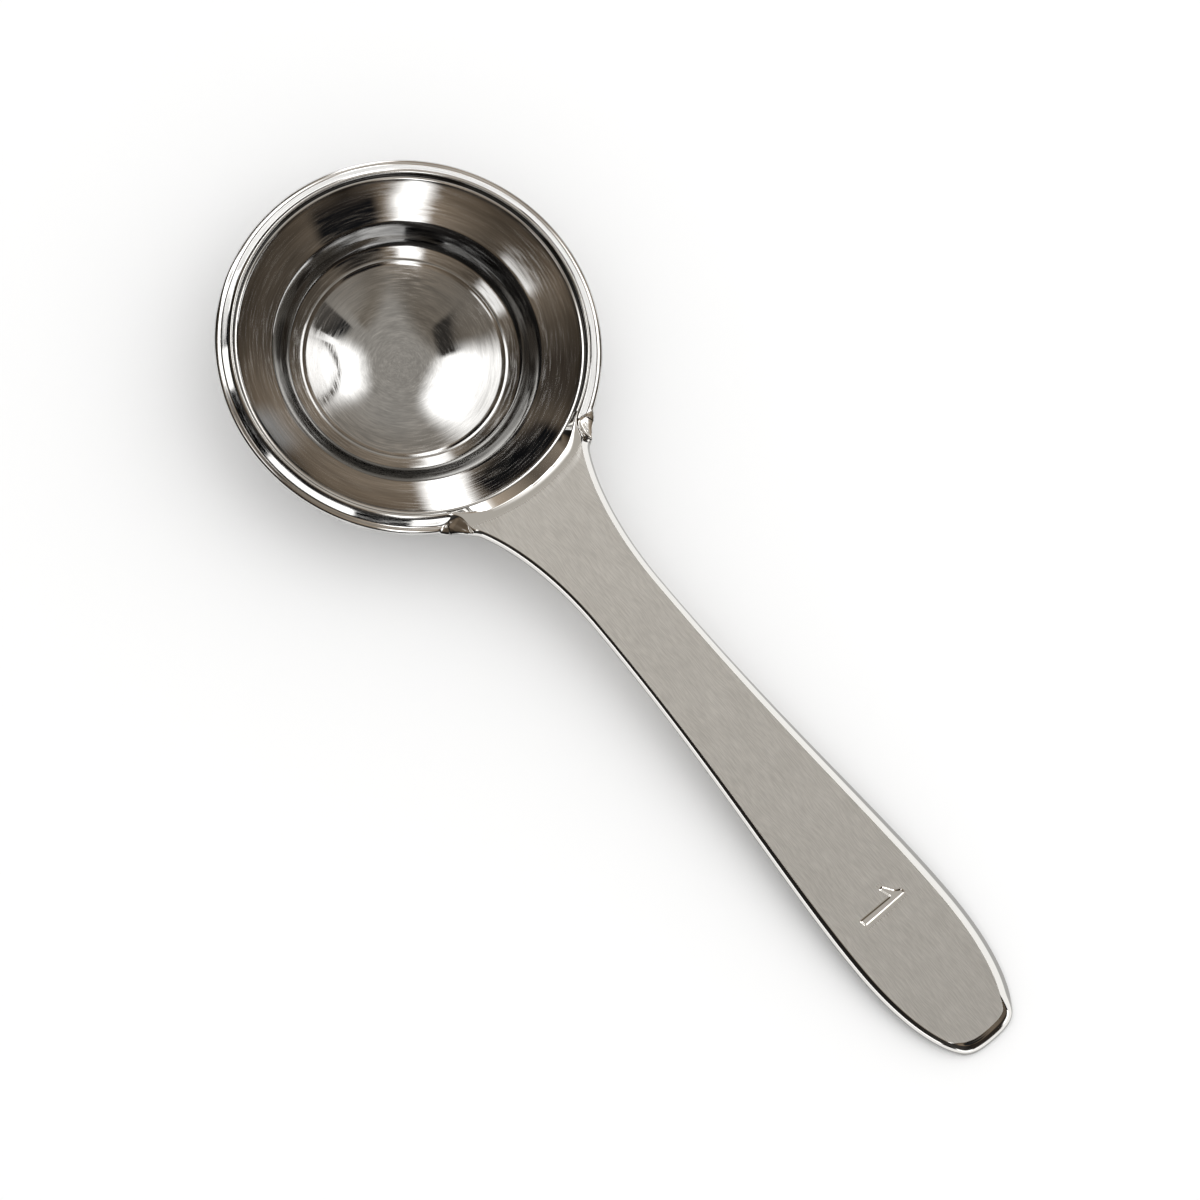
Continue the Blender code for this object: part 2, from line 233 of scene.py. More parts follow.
# %% [markdown]
# ## Steel, measured in the spoon's own frame
# Every finish here starts from the same bare metal. Its patterns are placed in millimetres in the
# spoon's own frame, so the scratches follow the axis of the bowl and the length of the handle,
# however the spoon lies. Stainless steel is a slightly warm grey that reflects a little over
# half of the light.

# %% Steel and the spoon's own coordinates
STEEL = "#c6c5c3"


def steel(name, colour=STEEL):
    """A metal shader and, in millimetres, the place in the spoon's own frame."""
    material = bpy.data.materials.new(name)
    material.use_nodes = True
    tree = material.node_tree
    shader = tree.nodes["Principled BSDF"]
    shader.inputs["Base Color"].default_value = (*linear(colour), 1.0)
    shader.inputs["Metallic"].default_value = 1.0
    place = add(tree, "ShaderNodeTexCoord").outputs["Object"]
    back = Matrix.Rotation(-TILT, 3, "Y") @ -SPOT
    own = add(tree, "ShaderNodeMapping", {"Vector": place, "Location": back,
                                          "Rotation": (0.0, -TILT, 0.0),
                                          "Scale": (1 / MM, 1 / MM, 1 / MM)}).outputs[0]
    return material, tree, shader, own


def tint(tree, shader, colour, share):
    """Multiply a colour by a number that changes from place to place."""
    scaled = add(tree, "ShaderNodeVectorMath", {0: linear(colour), "Scale": share},
                 operation="SCALE").outputs[0]
    tree.links.new(scaled, shader.inputs["Base Color"])


def to_world(tree, way):
    return add(tree, "ShaderNodeMapping", {"Vector": way, "Rotation": (0.0, TILT, 0.0)},
               vector_type="VECTOR").outputs[0]


# %% [markdown]
# ## Polished steel, spun
# The bowl was polished while it turned, so its finest scratches are rings about the axis. Light
# is blurred across them and stays sharp along them, which pulls each highlight into a wedge. The
# eye reads the wedges as a turned shape and the faint rings as honest wear. Painted shade darkens
# the step's corners and makes the groove behind the lip nearly black, and a painted highlight
# lifts the lip and rim, with painted shade at the rim's outer edge.

# %% Polished, spun steel
# Where painted shade darkens the step's corners and the groove behind the lip: starts, full, fading,
# ends.
STEP_CORNERS, CORNER_SHADE = (17.9, 18.6, 20.0, 20.9), 0.45
LIP_GROOVE, GROOVE_SHADE = (26.95, 27.02, 27.2, 27.36), 0.06
# Painted highlight over the lip and rim, and painted shade at the rim's outer edge, as factors on the
# colour.
RIM_PAINTED_HIGHLIGHT, EDGE_PAINTED_SHADE = 1.6, 0.7


def spun_steel():
    material, tree, shader, own = steel("polished_stainless")
    x, y, _ = split(tree, own)
    radius = distance_from_axis(tree, x, y)
    round_ = vector(tree, "NORMALIZE", join(tree, x, y, 0.0))
    turn = split(tree, round_)

    def rings(spacing, lengths, detail):
        """Noise stretched round the axis; spacing in mm, lengths in arcs per turn."""
        place = join(tree, maths(tree, "DIVIDE", radius, spacing),
                     maths(tree, "MULTIPLY", turn[0], lengths),
                     maths(tree, "MULTIPLY", turn[1], lengths))
        return noise(tree, place, detail)

    fine, coarse, scratch = rings(0.28, 5.0, 3.0), rings(1.1, 2.0, 1.0), rings(0.13, 2.5, 1.0)
    height = maths(tree, "ADD", fine, maths(tree, "MULTIPLY", coarse, 2.0))
    shader.inputs["Anisotropic"].default_value = 0.5
    blur = spread(tree, fine, 0.36, 0.66, 0.03, 0.19)
    on_dish = spread(tree, radius, FLOOR_RADIUS - 3.0, FLOOR_RADIUS + 1.0, 0.6, 1.0)
    tree.links.new(maths(tree, "MULTIPLY", blur, on_dish), shader.inputs["Roughness"])
    streak = maths(tree, "MULTIPLY", spread(tree, fine, 0.35, 0.65, 0.86, 1.08),
                   spread(tree, coarse, 0.35, 0.65, 0.9, 1.05))
    streak = maths(tree, "MULTIPLY", streak, spread(tree, scratch, 0.64, 0.72, 1.0, 1.18))
    # Painted shade: the colour is darkened in the step's corners and made nearly black in the groove
    # behind the lip.
    corner, groove = between(tree, radius, *STEP_CORNERS), between(tree, radius, *LIP_GROOVE)
    # Painted highlight: the colour is lifted over the lip and rim, then lowered by painted shade at the
    # rim's outer edge.
    rim_painted_light = maths(tree, "MULTIPLY", spread(tree, radius, 26.4, 26.6, 1.0, RIM_PAINTED_HIGHLIGHT),
                   spread(tree, radius, 29.3, 29.9, 1.0, EDGE_PAINTED_SHADE))
    shade = maths(tree, "MULTIPLY", rim_painted_light, spread(tree, corner, 0.0, 1.0, 1.0, CORNER_SHADE))
    shade = maths(tree, "MULTIPLY", shade, spread(tree, groove, 0.0, 1.0, 1.0, GROOVE_SHADE))
    tint(tree, shader, STEEL, maths(tree, "MULTIPLY", streak, shade))
    tree.links.new(to_world(tree, round_), shader.inputs["Tangent"])
    tree.links.new(bump(tree, height, 0.0000009), shader.inputs["Normal"])
    return material


polished = spun_steel()
print(polished.name, "has", len(polished.node_tree.nodes), "nodes")


# %% [markdown]
# ## Brushed face, buffed edges
# The handle was drawn along a belt, which leaves long fine lines on its flat face. Its edges were
# buffed afterwards on a soft wheel, so they are bright. The "polish" value that the mesh carries
# tells the material which is which. A real belt line is some 0.05 mm wide; it is drawn about
# three times coarser, so that it still shows from a distance.

# %% Brushed steel with buffed edges
SATIN = "#f0eeea"
BELT_LINES = (0.5, 6.0, 0.0)
LONG_SCRATCHES = (0.12, 6.5, 0.0)
BEAD_END = 29.9


def brushed_steel():
    material, tree, shader, own = steel("brushed_stainless")
    x, y, z = split(tree, own)
    radius = distance_from_axis(tree, x, y)
    wave = noise(tree, vector(tree, "MULTIPLY", own, (0.12, 0.16, 0.0)), 1.0)
    drift = spread(tree, wave, 0.0, 1.0, -0.8, 0.8)
    bent = vector(tree, "ADD", own, join(tree, 0.0, drift, 0.0))
    lines = noise(tree, vector(tree, "MULTIPLY", bent, BELT_LINES), 2.0, 0.55)
    scratch = noise(tree, vector(tree, "MULTIPLY", own, LONG_SCRATCHES), 2.0, 0.5)
    cloud = noise(tree, vector(tree, "MULTIPLY", own, (0.25, 0.5, 0.3)), 3.0, 0.6)
    bead = spread(tree, radius, BEAD_END, BEAD_END + 0.7, 1.0, 0.0)
    attribute = add(tree, "ShaderNodeAttribute", attribute_name="polish").outputs["Fac"]
    face = maths(tree, "SUBTRACT", 1.0, maths(tree, "MAXIMUM", attribute, bead))
    rough = maths(tree, "ADD", spread(tree, lines, 0.35, 0.65, 0.33, 0.39),
                  spread(tree, cloud, 0.3, 0.7, -0.03, 0.03))
    tree.links.new(spread(tree, face, 0.0, 1.0, 0.06, rough), shader.inputs["Roughness"])
    tree.links.new(maths(tree, "MULTIPLY", face, 0.5), shader.inputs["Anisotropic"])
    grain = maths(tree, "MULTIPLY", spread(tree, lines, 0.4, 0.6, 0.93, 1.05),
                  spread(tree, scratch, 0.3, 0.7, 0.95, 1.05))
    # Painted shade: the face's colour is lighter near the bowl and darker toward the tip.
    length = spread(tree, x, 32.0, 132.0, 1.07, 0.85)
    shade = maths(tree, "MULTIPLY", maths(tree, "MULTIPLY", grain, length),
                  spread(tree, cloud, 0.3, 0.7, 0.97, 1.03))
    # Painted shade: the colour is darker on the lower half of the rolled edges and everything below
    # them.
    low = spread(tree, z, -0.15, -0.05, 0.42, 1.0)
    tint(tree, shader, SATIN, maths(tree, "MULTIPLY", spread(tree, face, 0.0, 1.0, 1.0, shade), low))
    tree.links.new(join(tree, 0.0, 1.0, 0.0), shader.inputs["Tangent"])
    return material


satin = brushed_steel()
print(satin.name, "has", len(satin.node_tree.nodes), "nodes")


# %% [markdown]
# ## The bowl's section
# The bowl is drawn from one disc, so every slice through its axis is the same curve: a dished
# floor, a step, a sloping wall, a fine lip, and the rim that is rolled over it.

# %% Section points, from the axis outward
WALL_SLOPE = atan2(BOWL_DEPTH - FLOOR_DISH - STEP_HEIGHT, LIP_RADIUS - STEP_RADIUS)
SEAM_RADIUS, SEAM_Z = LIP_RADIUS + 0.16, -0.05
WALL_START, WALL_END, WALL_HOLLOW, HOLLOW_LEAN = 21.0, 26.45, 0.09, 2.5


def slope(angle):
    return Vector((cos(radians(angle)), sin(radians(angle))))


def cubic(start, start_way, end, end_way, steps):
    """A cubic curve that leaves and arrives along the two ways given."""
    control = (start, start + start_way, end - end_way, end)
    points = []
    for i in range(steps + 1):
        t = i / steps
        weights = ((1 - t) ** 3, 3 * t * (1 - t) ** 2, 3 * t * t * (1 - t), t ** 3)
        points.append(sum((p * w for p, w in zip(control, weights)), Vector((0, 0))))
    return points


def on_wall(radius):
    """The wall is a shade hollow, which bends what it reflects."""
    along = (radius - WALL_START) / (WALL_END - WALL_START)
    hollow = WALL_HOLLOW * 4 * along * (1 - along)
    return Vector((radius, (radius - LIP_RADIUS) * tan(WALL_SLOPE) - hollow))


# The rolled rim, from its crest outward: distance in from the outer edge, height.
RIM_ROLL = ((2.45, 1.1), (2.36, 1.09), (2.29, 1.06), (2.22, 1.015), (2.1, 0.93), (1.98, 0.845),
            (1.86, 0.73), (1.72, 0.565), (1.56, 0.375), (1.4, 0.185), (1.26, 0.015), (1.14, -0.13),
            (1.03, -0.25), (0.9, -0.32), (0.7, -0.385), (0.4, -0.49), (0.13, -0.655), (0.03, -0.84),
            (0.0, -1.2), (0.1, -1.75))
RIM_FLANK = 0.45
DISH_POWER = 2.25
BAND_RADIUS, BAND_SLOPE, STEEP_RADIUS, STEEP_SLOPE = 17.8, 26.5, 19.4, 47.0


def dish_point(share):
    """The floor: a shallow pan, rounded in the middle and nearly straight at its edge."""
    power = DISH_POWER + 1
    full = 1 - 1 / power
    rise = (share - (1 - (1 - share) ** power) / power) / full
    return Vector((FLOOR_RADIUS * share, FLOOR_DISH * rise - BOWL_DEPTH))


def bowl_section():
    points = [dish_point(i / 28) for i in range(29)]
    edge = points[-1]
    lip_of_floor = ((0.1, 0.09), (0.2, 0.115), (0.32, 0.15))
    points += [edge + Vector(step) for step in lip_of_floor]
    band = edge + slope(BAND_SLOPE) * ((BAND_RADIUS - FLOOR_RADIUS) / cos(radians(BAND_SLOPE)))
    points += [points[-1].lerp(band, i / 6) for i in range(1, 7)]
    top = on_wall(WALL_START)
    steep = Vector((STEEP_RADIUS, 0.0))
    steep.y = top.y - 0.5 * (top.y - band.y)
    points += cubic(band, slope(BAND_SLOPE) * 0.55, steep, slope(STEEP_SLOPE) * 0.45, 9)[1:]
    wall_way = slope(WALL_SLOPE * 180 / pi - HOLLOW_LEAN)
    points += cubic(steep, slope(STEEP_SLOPE) * 0.6, top, wall_way * 0.35, 9)[1:]
    points += [on_wall(mix(WALL_START, WALL_END, i / 16)) for i in range(1, 17)]
    ridge = ((26.55, -0.19), (26.61, -0.13), (26.7, -0.09), (26.8, -0.047), (26.9, -0.005),
             (26.98, -0.01))
    points += [Vector(p) for p in ridge]
    points.append(Vector((SEAM_RADIUS, SEAM_Z)))
    lip = len(points) - 1
    for i in range(1, 6):
        a = pi / 2 * i / 6
        points.append(Vector((SEAM_RADIUS + RIM_FLANK * (1 - cos(a)), mix(SEAM_Z, RIM_RISE, sin(a)))))
    points += [Vector((RIM_RADIUS - inset, height)) for inset, height in RIM_ROLL]
    return points, lip


def point_cloud(name, points):
    data = bpy.data.meshes.new(name)
    data.from_pydata([Vector((p[0], 0, p[1])) for p in points], [], [])
    return data


SECTION, LIP_INDEX = bowl_section()
print("section points:", len(SECTION), "lip at", LIP_INDEX)


# %% [markdown]
# ## Where the section is placed
# The stations lie closer together at the two notches, where the rim stops and the handle begins.
# The neck has stations of its own, because only the lip runs on there and the rim is left out.

# %% Angles where the section is placed
NECK_COUNT, RIM_COUNT, CROWDING = 60, 340, 0.75


def stations():
    neck = [NOTCH_ANGLE * (2 * i / NECK_COUNT - 1) for i in range(NECK_COUNT)]
    around = 2 * pi - 2 * NOTCH_ANGLE
    rim = []
    for i in range(RIM_COUNT):
        t = i / RIM_COUNT
        rim.append(NOTCH_ANGLE + around * (t - CROWDING * sin(2 * pi * t) / (2 * pi)))
    return neck + rim + [2 * pi - NOTCH_ANGLE]


ANGLES = stations()
print("stations:", len(ANGLES))


# %% [markdown]
# ## Turning the section
# A grid of points is laid out, one column for each station and one row for each section point.
# Each point then moves to its section point, turned round the axis to its station. The rule needs
# no seed, since nothing in it is random. The section, the stations and the place of the lip are
# inputs, so another bowl only needs another section.

# %% Turning with Geometry Nodes
def turn_tree():
    tree = bpy.data.node_groups.new("turn_section", "GeometryNodeTree")
    side = tree.interface
    side.new_socket("Section", in_out="INPUT", socket_type="NodeSocketGeometry")
    side.new_socket("Stations", in_out="INPUT", socket_type="NodeSocketObject")
    side.new_socket("Neck stations", in_out="INPUT", socket_type="NodeSocketFloat")
    side.new_socket("Lip point", in_out="INPUT", socket_type="NodeSocketFloat")
    side.new_socket("Material", in_out="INPUT", socket_type="NodeSocketMaterial")
    side.new_socket("Sheet", in_out="OUTPUT", socket_type="NodeSocketGeometry")
    given = add(tree, "NodeGroupInput").outputs
    other = add(tree, "GeometryNodeObjectInfo", {"Object": given["Stations"]}).outputs
    across = add(tree, "GeometryNodeAttributeDomainSize", {0: given["Section"]}).outputs[0]
    round_ = add(tree, "GeometryNodeAttributeDomainSize", {0: other["Geometry"]}).outputs[0]
    grid = add(tree, "GeometryNodeMeshGrid", {"Size X": 1.0, "Size Y": 1.0,
                                              "Vertices X": round_, "Vertices Y": across})
    place = add(tree, "ShaderNodeSeparateXYZ", {0: add(tree, "GeometryNodeInputPosition").outputs[0]})

    def number(axis, count):
        share = maths(tree, "ADD", place.outputs[axis], 0.5)
        return maths(tree, "MULTIPLY", share, maths(tree, "SUBTRACT", count, 1.0))

    station, spot = number("X", round_), number("Y", across)
    in_neck = maths(tree, "LESS_THAN", station, given["Neck stations"])
    past_lip = maths(tree, "GREATER_THAN", spot, given["Lip point"])
    left_out = maths(tree, "MULTIPLY", in_neck, past_lip)
    cut = add(tree, "GeometryNodeDeleteGeometry", {0: grid.outputs[0], "Selection": left_out},
              domain="FACE")

    def sampled(source, index):
        whole = add(tree, "FunctionNodeFloatToInt", {0: index}, rounding_mode="ROUND").outputs[0]
        node = add(tree, "GeometryNodeSampleIndex", {0: source, "Index": whole},
                   data_type="FLOAT_VECTOR")
        tree.links.new(add(tree, "GeometryNodeInputPosition").outputs[0], node.inputs["Value"])
        return add(tree, "ShaderNodeSeparateXYZ", {0: node.outputs[0]}).outputs

    section = sampled(given["Section"], spot)
    angle = sampled(other["Geometry"], station)["X"]
    turned = add(tree, "ShaderNodeCombineXYZ",
                 {"X": maths(tree, "MULTIPLY", section["X"], maths(tree, "COSINE", angle)),
                  "Y": maths(tree, "MULTIPLY", section["X"], maths(tree, "SINE", angle)),
                  "Z": section["Z"]}).outputs[0]
    moved = add(tree, "GeometryNodeSetPosition", {0: cut.outputs[0], "Position": turned})
    joined = add(tree, "GeometryNodeMergeByDistance", {0: moved.outputs[0], "Distance": 0.001})
    upward = add(tree, "GeometryNodeFlipFaces", {0: joined.outputs[0]})
    real = add(tree, "GeometryNodeRealizeInstances", {0: upward.outputs[0]})
    dressed = add(tree, "GeometryNodeSetMaterial", {0: real.outputs[0], "Material": given["Material"]})
    add(tree, "NodeGroupOutput", {0: dressed.outputs[0]})
    return tree


def set_inputs(modifier, **values):
    for item in modifier.node_group.interface.items_tree:
        if item.in_out == "INPUT" and item.name in values:
            modifier[item.identifier] = values[item.name]


def turned_bowl():
    piece = new_piece("spoon_bowl", point_cloud("bowl_section", SECTION), polished)
    guide = new_piece("turn_stations", point_cloud("turn_stations", [(a, 0) for a in ANGLES]), polished)
    turning = piece.modifiers.new("turn", "NODES")
    turning.node_group = turn_tree()
    set_inputs(turning, **{"Stations": guide, "Neck stations": float(NECK_COUNT),
                           "Lip point": float(LIP_INDEX), "Material": polished})
    data = plain_mesh(piece, "spoon_bowl")
    bpy.data.objects.remove(guide)
    return piece, data


bowl, bowl_sheet = turned_bowl()
print("bowl sheet:", len(bowl_sheet.vertices), "points", len(bowl_sheet.polygons), "faces")


# %% [markdown]
# ## Sheet, pose and an uneven rim
# The turned surface is the inside of the bowl; the sheet is added below it. A rim that was rolled
# over by a wheel stands a touch flatter in places, which breaks its reflection into strokes.

# %% Thickness and pose
def thicken(piece, sheet):
    solid = piece.modifiers.new("sheet", "SOLIDIFY")
    solid.thickness = sheet
    solid.offset = -1.0
    solid.use_even_offset = True
    return plain_mesh(piece, piece.name)


def stand(data):
    """Put a finished mesh where the spoon lies, and shade it smooth but for its cut edges."""
    data.transform(TO_WORLD)
    data.shade_smooth()
    data.set_sharp_from_angle(angle=radians(40))


# Places where the roll of the rim stands a little flatter: azimuth, width, lift per mm.
FLAT_SPOTS = ((-149, 6, 0.19), (-112, 14, 0.05), (-45, 10, 0.03))
CREST_RADIUS = RIM_RADIUS - RIM_ROLL[0][0]


def uneven_rim(data):
    """A rolled rim is never quite even, which breaks up what it reflects."""
    for point in data.vertices:
        x, y, z = point.co
        past = hypot(x, y) - CREST_RADIUS
        if past > 0 and z > -2.5:
            angle = atan2(y, x) * 180 / pi
            point.co.z += past * sum(lift * exp(-((angle - middle) / width) ** 2)
                                     for middle, width, lift in FLAT_SPOTS)


bowl_data = thicken(bowl, BOWL_SHEET)
uneven_rim(bowl_data)
print("bowl with its sheet:", len(bowl_data.polygons), "faces")


# %% [markdown]
# ## The handle's outline
# The side of the handle leaves the rim along it, sweeps out to a narrow waist, widens to the
# shoulder and is clipped round at the tip. Four cubic curves hold that line.

# %% Outline of one side
def side_outline():
    notch = Vector((cos(NOTCH_ANGLE), sin(NOTCH_ANGLE))) * RIM_RADIUS
    along_rim = Vector((sin(NOTCH_ANGLE), -cos(NOTCH_ANGLE)))
    waist = Vector((WAIST_X, WAIST_HALF_WIDTH))
    shoulder = Vector((SHOULDER_X, SHOULDER_HALF_WIDTH))
    corner = Vector((TIP_X - CORNER_SETBACK, CORNER_HALF_WIDTH))
    corner_way = Vector((cos(CORNER_SLOPE), -sin(CORNER_SLOPE)))
    tip, forward, inward = Vector((TIP_X, 0.0)), Vector((1.0, 0.0)), Vector((0.0, -1.0))
    points = cubic(notch, along_rim * NOTCH_PULL, waist, forward * WAIST_FRONT_PULL, 400)
    points += cubic(waist, forward * WAIST_BACK_PULL, shoulder, forward * SHOULDER_FRONT_PULL, 400)[1:]
    points += cubic(shoulder, forward * SHOULDER_BACK_PULL, corner, corner_way * CORNER_PULL, 300)[1:]
    points += cubic(corner, corner_way * CORNER_SETBACK, tip, inward * TIP_PULL, 200)[1:]
    return points


FIGURE_START, FIGURE_END = 109.4, 112.8
TIP_ROWS_START = SHOULDER_X + 10


def row_spacing(x):
    """Distance to the next row: close at the neck, the figure and the tip, wide between."""
    if x < RIM_RADIUS + 4:
        return 0.12 if x < RIM_RADIUS - 1 else 0.2
    if FIGURE_START < x < FIGURE_END:
        return 0.085
    return 0.35 if x > TIP_ROWS_START or x < WAIST_X else 0.8


def spaced(points):
    """Points at the row spacing along a fine line, each with the inward normal there."""
    rows, travelled = [0], 0.0
    for i in range(1, len(points)):
        travelled += (points[i] - points[i - 1]).length
        if travelled >= row_spacing(points[i].x) or i == len(points) - 1:
            rows.append(i)
            travelled = 0.0
    side = []
    for i in rows:
        way = points[min(i + 1, len(points) - 1)] - points[max(i - 1, 0)]
        if i == len(points) - 1:
            way = Vector((0.0, -1.0))
        way.normalize()
        side.append((points[i], Vector((way.y, -way.x))))
    return side


SIDE = spaced(side_outline())
print("outline rows:", len(SIDE))


# %% [markdown]
# ## The handle's heights
# The handle is one pressed sheet. Its face is flat, its edges roll down to the back plate, and
# behind the bowl it rises in a bead and falls to the lip. The edge rolls of the two sides differ,
# as a hand holds a spoon against the wheel more on one side than the other.

# %% Heights of the handle
# The edge of the handle, from the flat face outward: distance in from the outline, drop.
FAR_ROLL = ((1.5, 0.0), (1.497, 0.001), (1.49, 0.005), (1.475, 0.016), (1.45, 0.036), (1.41, 0.07),
            (1.35, 0.122), (1.26, 0.203), (1.16, 0.298), (1.05, 0.407), (0.93, 0.53), (0.81, 0.658),
            (0.69, 0.792), (0.57, 0.932), (0.45, 1.08), (0.33, 1.24), (0.2, 1.43), (0.07, 1.66),
            (0.0, 1.84), (0.2, 2.0))
NEAR_ROLL = ((0.62, 0.0), (0.605, 0.005), (0.585, 0.016), (0.56, 0.032), (0.52, 0.06), (0.47, 0.097),
             (0.42, 0.136), (0.37, 0.178), (0.32, 0.224), (0.28, 0.264), (0.24, 0.308), (0.2, 0.357),
             (0.16, 0.411), (0.12, 0.49), (0.08, 0.6), (0.04, 0.78), (0.01, 1.05), (0.0, 1.4),
             (0.08, 1.85), (0.2, 2.0))
TIP_ROLL = ((1.95, 0.0), (1.93, 0.008), (1.88, 0.034), (1.82, 0.062), (1.7, 0.108), (1.55, 0.16),
            (1.4, 0.22), (1.25, 0.295), (1.1, 0.385), (0.95, 0.485), (0.8, 0.595), (0.66, 0.705),
            (0.52, 0.825), (0.38, 0.96), (0.25, 1.11), (0.14, 1.28), (0.05, 1.5), (0.0, 1.7),
            (0.08, 1.9), (0.2, 2.0))
WIDEN = 1.4
NECK_TURN = 2.8
BENT_ROWS_LENGTH = 8.0
FRONT_RADIUS = SEAM_RADIUS
FLANK, FLANK_TOP, BEAD_RISE, BEAD_FALL, BEAD_CREST = 1.8, 0.86, 1.6, 1.2, RIM_RISE + 0.04
TIP_TURN_START, TIP_TURN = SHOULDER_X + 16.5, 3.8


def neck_blend(x):
    return smooth((x - RIM_RADIUS * cos(NOTCH_ANGLE)) / NECK_TURN)


def face_height(point):
    """Wall behind the lip, bead, then the flat face; the wall closes up toward the notches."""
    behind = max(hypot(point[0], point[1]) - FRONT_RADIUS, 0.0)
    share = smooth((abs(atan2(point[1], point[0])) / NOTCH_ANGLE - 0.5) / 0.5)
    flank, top = mix(FLANK, RIM_FLANK, share), mix(FLANK_TOP, RIM_RISE - 0.06, share)
    crest = mix(BEAD_CREST, RIM_RISE, share)
    if behind < flank:
        return mix(SEAM_Z, top, behind / flank)
    rise = mix(BEAD_RISE, 0.2, share)
    if behind < flank + rise:
        return mix(top - 0.02 * (1 - share), crest, sin(pi / 2 * (behind - flank) / rise))
    level = RIM_RISE - FACE_SINK
    return level + (crest - level) * (1 - smooth((behind - flank - rise) / BEAD_FALL))


def roll_at(x, side):
    """The edge's profile: wider toward the shoulder, widest and softest at the tip."""
    at_tip = smooth((x - TIP_TURN_START) / TIP_TURN)
    widen = mix(1.0, WIDEN, smooth((x - WAIST_X) / TAPER_LENGTH))
    roll = []
    for (inset, drop), (tip_inset, tip_drop) in zip(side, TIP_ROLL):
        drop *= 1 + (widen - 1) * (1 - drop / HANDLE_THICKNESS)
        roll.append((mix(inset * widen, tip_inset, at_tip), mix(drop, tip_drop, at_tip)))
    return roll


def edge_column(point, inward, side):
    """The edge at one place on the outline, from its lowest point up to the face."""
    blend = neck_blend(point.x)
    column = []
    for (inset, height), (edge_inset, drop) in zip(RIM_ROLL, roll_at(point.x, side)):
        spot = point + inward * mix(inset, edge_inset, blend)
        if not column:
            crest = face_height(spot)
        column.append(Vector((*spot, crest + mix(height - RIM_RISE, -drop, blend))))
    return column[::-1]


def mirrored(point):
    return Vector((point.x, -point.y, *point[2:]))


CORNER_STEPS, FRONT_STEPS = 4, 118


def front_line(far, near):
    """Points along the lip behind the neck, from the far notch to the near one."""
    line = []
    corner = Vector((cos(NOTCH_ANGLE), sin(NOTCH_ANGLE))) * FRONT_RADIUS
    for i in range(CORNER_STEPS):
        line.append(far.xy.lerp(corner, i / CORNER_STEPS))
    for i in range(FRONT_STEPS + 1):
        angle = NOTCH_ANGLE * (1 - 2 * i / FRONT_STEPS)
        line.append(Vector((cos(angle), sin(angle))) * FRONT_RADIUS)
    back = [near.xy.lerp(mirrored(corner), i / CORNER_STEPS) for i in range(CORNER_STEPS)]
    return line + back[::-1]


def face_rows(far, near, neck_rows):
    front = front_line(far[0], near[0])
    rows = []
    for i, (left, right) in enumerate(zip(far, near)):
        along = min(i / neck_rows, 1.0)
        row = []
        for j, ahead in enumerate(front):
            across = j / (len(front) - 1)
            level = far[0].xy.lerp(near[0].xy, across)
            spot = left.xy.lerp(right.xy, across) + (ahead - level) * (1 - along)
            row.append(Vector((*spot, face_height(spot))))
        rows.append(row)
    return rows


def skin(mesh, rows, polished_all):
    """Faces between rows of points, with how polished each point is."""
    buffed = mesh.verts.layers.float["polish"]
    grid = [[mesh.verts.new(point) for point in row] for row in rows]
    for row in grid:
        for i, vert in enumerate(row):
            vert[buffed] = 1.0 if polished_all or i in (0, len(row) - 1) else 0.0
    for near, far in zip(grid, grid[1:]):
        for j in range(len(near) - 1):
            mesh.faces.new((near[j], near[j + 1], far[j + 1], far[j]))


def handle_sheet():
    """The handle's top surface: its rolled edge all round, then the face between the edges."""
    far = [edge_column(point, inward, FAR_ROLL) for point, inward in SIDE]
    near = [[mirrored(spot) for spot in edge_column(point, inward, NEAR_ROLL)] for point, inward in SIDE]
    neck_rows = sum(1 for point, _ in SIDE if point.x < RIM_RADIUS + BENT_ROWS_LENGTH)
    far_top, near_top = [column[-1] for column in far], [column[-1] for column in near]
    mesh = bmesh.new()
    mesh.verts.layers.float.new("polish")
    skin(mesh, far + near[-2::-1], True)
    skin(mesh, face_rows(far_top, near_top, neck_rows), False)
    bmesh.ops.remove_doubles(mesh, verts=mesh.verts, dist=0.002)
    data = bpy.data.meshes.new("spoon_handle")
    mesh.to_mesh(data)
    mesh.free()
    return data


# %% [markdown]
# ## The engraved figure
# A plain 1 is cut into the face near its end. The cut's own outline is drawn here, and every
# point of the sheet within it is pressed down. The cutter leaned, so the wall toward the tip is
# gentler than the one toward the bowl, and catches the light along its whole width. The step
# aside shows which way the outline lies, and so which of the two walls a point is on.

# %% The engraved figure
FIGURE = [(109.71, 1.56), (110.43, 2.08), (111.26, 2.64), (111.65, 3.2), (111.85, 3.68),
          (112.46, 3.72), (112.5, 0.0), (112.54, -4.3), (111.6, -4.46), (111.68, 1.56),
          (111.49, 1.66), (109.78, 1.04)]
FIGURE_DEPTH, STEEP_WALL, GENTLE_WALL = 0.17, 0.22, 0.41
STEP_ASIDE = 0.05


def line_distance(line, x, y):
    spot, nearest = Vector((x, y)), 99.0
    for (ax, ay), (bx, by) in zip(line, line[1:]):
        start, side = Vector((ax, ay)), Vector((bx - ax, by - ay))
        share = min(max((spot - start).dot(side) / side.length_squared, 0.0), 1.0)
        nearest = min(nearest, (spot - start - side * share).length)
    return nearest


def outline_distance(shape, x, y):
    """Distance from a place to a closed outline, negative inside it."""
    inside = False
    for (ax, ay), (bx, by) in zip(shape, shape[1:] + shape[:1]):
        if (ay > y) != (by > y) and x < ax + (y - ay) / (by - ay) * (bx - ax):
            inside = not inside
    nearest = line_distance(shape + shape[:1], x, y)
    return -nearest if inside else nearest


